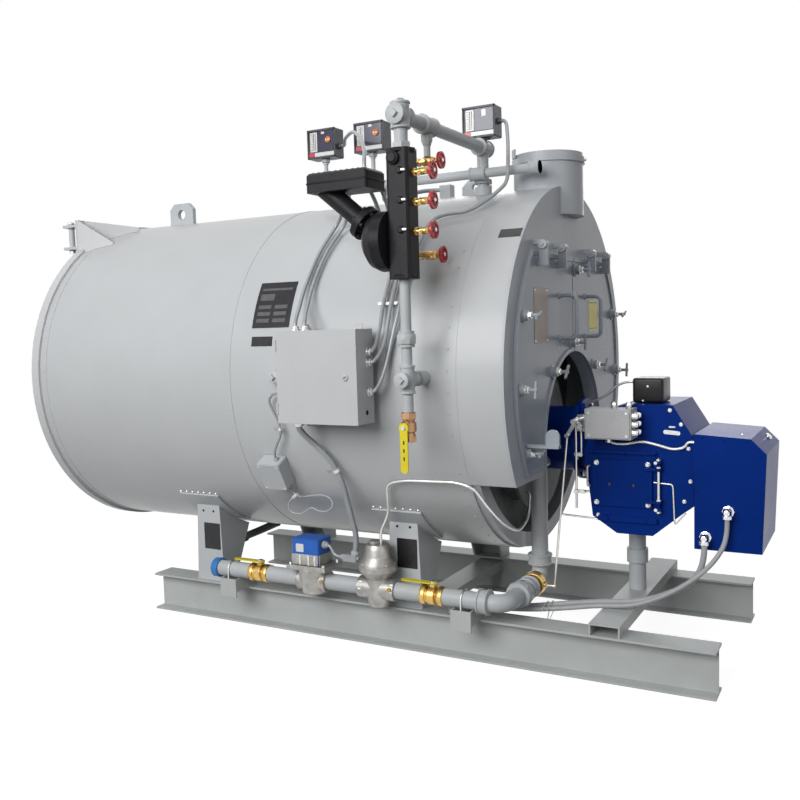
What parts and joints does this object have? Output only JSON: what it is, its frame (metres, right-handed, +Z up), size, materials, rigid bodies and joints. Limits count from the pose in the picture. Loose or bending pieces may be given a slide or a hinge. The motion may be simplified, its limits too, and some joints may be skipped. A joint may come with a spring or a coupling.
{
  "type": "industrial boiler",
  "caption": "Skid-mounted horizontal fire-tube steam boiler with gas burner, gas train, water column and control panel.",
  "frame": {"origin": "on the floor under the centre of the whole machine's footprint box", "axes": "+X along the shell towards the burner, +Y towards the side without the water column, +Z up"},
  "size_m": [2.869, 1.542, 1.944],
  "materials": {
    "brass": "satin",
    "cast_aluminium": "satin",
    "cast_black": "satin",
    "conduit_grey": "satin",
    "control_case": "satin",
    "lever_yellow": "gloss",
    "paint_black": "satin",
    "paint_blue": "gloss",
    "paint_grey": "gloss",
    "paint_grey_dark": "satin",
    "plastic_blue": "satin",
    "steel_plated": "satin",
    "wheel_red": "gloss"
  },
  "bodies": {
    "boiler": {"blowdown_valve": "brass", "burner_blast_tube": "paint_blue", "burner_control_box": "paint_black", "burner_housing": "paint_blue", "burner_junction_box": "paint_grey", "burner_leads": "conduit_grey", "burner_linkage": "steel_plated", "burner_motor_box": "paint_blue", "burner_support_pipe": "paint_grey", "control_panel_box": "paint_grey", "door_hinge_brackets": "paint_grey", "float_chamber": "cast_black", "float_switch_head": "cast_black", "flue_outlet": "paint_grey", "front_cross_channel": "paint_grey_dark", "front_ring_flange": "paint_grey", "front_saddles": "paint_grey", "front_tubesheet": "paint_grey", "gas_cock_1": "brass", "gas_cock_2": "brass", "gas_pipe": "paint_grey", "gas_regulator": "cast_aluminium", "gas_riser_pipe": "paint_grey", "gas_safety_valve": "cast_aluminium", "gas_valve_actuator": "plastic_blue", "lifting_lugs": "paint_grey", "loop_connector": "conduit_grey", "lower_water_pipe": "paint_grey", "motor_box_cord_1": "conduit_grey", "motor_box_cord_2": "conduit_grey", "panel_conduits": "conduit_grey", "pressure_controls": "control_case", "rear_davit_bracket": "paint_grey", "rear_head": "paint_grey", "rear_saddles": "paint_grey", "sensing_tube": "steel_plated", "sensor_junction_box": "paint_grey", "sensor_lead_cord": "conduit_grey", "shell_fittings": "paint_grey", "shell_jacket": "paint_grey", "skid_beam_far": "paint_grey_dark", "skid_beam_near": "paint_grey_dark", "smokebox_front_plate": "paint_grey", "smokebox_wrapper": "paint_grey", "steam_piping": "paint_grey", "tie_channel": "paint_grey_dark", "water_column": "cast_black", "water_trim_valves": "brass"},
    "left_door": {"left_front_door": "paint_grey"},
    "right_door": {"right_front_door": "paint_grey"},
    "panel_door": {"control_panel_door": "paint_grey"},
    "burner_cover": {"burner_access_cover": "paint_blue"},
    "blowdown_lever": {"blowdown_lever": "lever_yellow"},
    "gas_lever_1": {"gas_lever_1": "lever_yellow"},
    "gas_lever_2": {"gas_lever_2": "lever_yellow"},
    "gauge_wheel_high": {"gauge_wheel_high": "wheel_red"},
    "gauge_wheel_low": {"gauge_wheel_low": "wheel_red"},
    "try_cock_wheel_1": {"try_cock_wheel_1": "wheel_red"},
    "try_cock_wheel_2": {"try_cock_wheel_2": "wheel_red"},
    "try_cock_wheel_3": {"try_cock_wheel_3": "wheel_red"}
  },
  "joints": [
    {"name": "left_door_lift", "type": "hinge", "parent": "boiler", "child": "left_door", "pos_m": [0.7688, 0.096, 1.422], "axis": [0, -1, 0], "range_deg": [0, 75]},
    {"name": "right_door_lift", "type": "hinge", "parent": "boiler", "child": "right_door", "pos_m": [0.7688, 0.096, 1.422], "axis": [0, -1, 0], "range_deg": [0, 75]},
    {"name": "panel_door_swing", "type": "hinge", "parent": "boiler", "child": "panel_door", "pos_m": [-0.012, -0.7055, 0.857], "axis": [0, 0, -1], "range_deg": [0, 110]},
    {"name": "burner_cover_swing", "type": "hinge", "parent": "boiler", "child": "burner_cover", "pos_m": [1.0955, -0.089, 0.526], "axis": [0, 0, 1], "range_deg": [0, 100]},
    {"name": "blowdown_turn", "type": "hinge", "parent": "boiler", "child": "blowdown_lever", "pos_m": [0.4655, -0.679, 0.855], "axis": [0, 1, 0], "range_deg": [0, 90]},
    {"name": "gas_turn_1", "type": "hinge", "parent": "boiler", "child": "gas_lever_1", "pos_m": [-0.3515, -0.394, 0.232], "axis": [0, 0, 1], "range_deg": [0, 90]},
    {"name": "gas_turn_2", "type": "hinge", "parent": "boiler", "child": "gas_lever_2", "pos_m": [0.3925, -0.394, 0.232], "axis": [0, 0, 1], "range_deg": [0, 90]},
    {"name": "try_cock_wheel_1_turn", "type": "hinge", "parent": "boiler", "child": "try_cock_wheel_1", "pos_m": [0.5693, -0.679, 1.452], "axis": [1, 0, 0], "range_deg": [0, 360]},
    {"name": "try_cock_wheel_2_turn", "type": "hinge", "parent": "boiler", "child": "try_cock_wheel_2", "pos_m": [0.5693, -0.679, 1.54], "axis": [1, 0, 0], "range_deg": [0, 360]},
    {"name": "try_cock_wheel_3_turn", "type": "hinge", "parent": "boiler", "child": "try_cock_wheel_3", "pos_m": [0.5693, -0.679, 1.628], "axis": [1, 0, 0], "range_deg": [0, 360]},
    {"name": "gauge_wheel_low_turn", "type": "hinge", "parent": "boiler", "child": "gauge_wheel_low", "pos_m": [0.5135, -0.504, 1.392], "axis": [1, 0, 0], "range_deg": [0, 360]},
    {"name": "gauge_wheel_high_turn", "type": "hinge", "parent": "boiler", "child": "gauge_wheel_high", "pos_m": [0.5135, -0.504, 1.688], "axis": [1, 0, 0], "range_deg": [0, 360]}
  ]
}
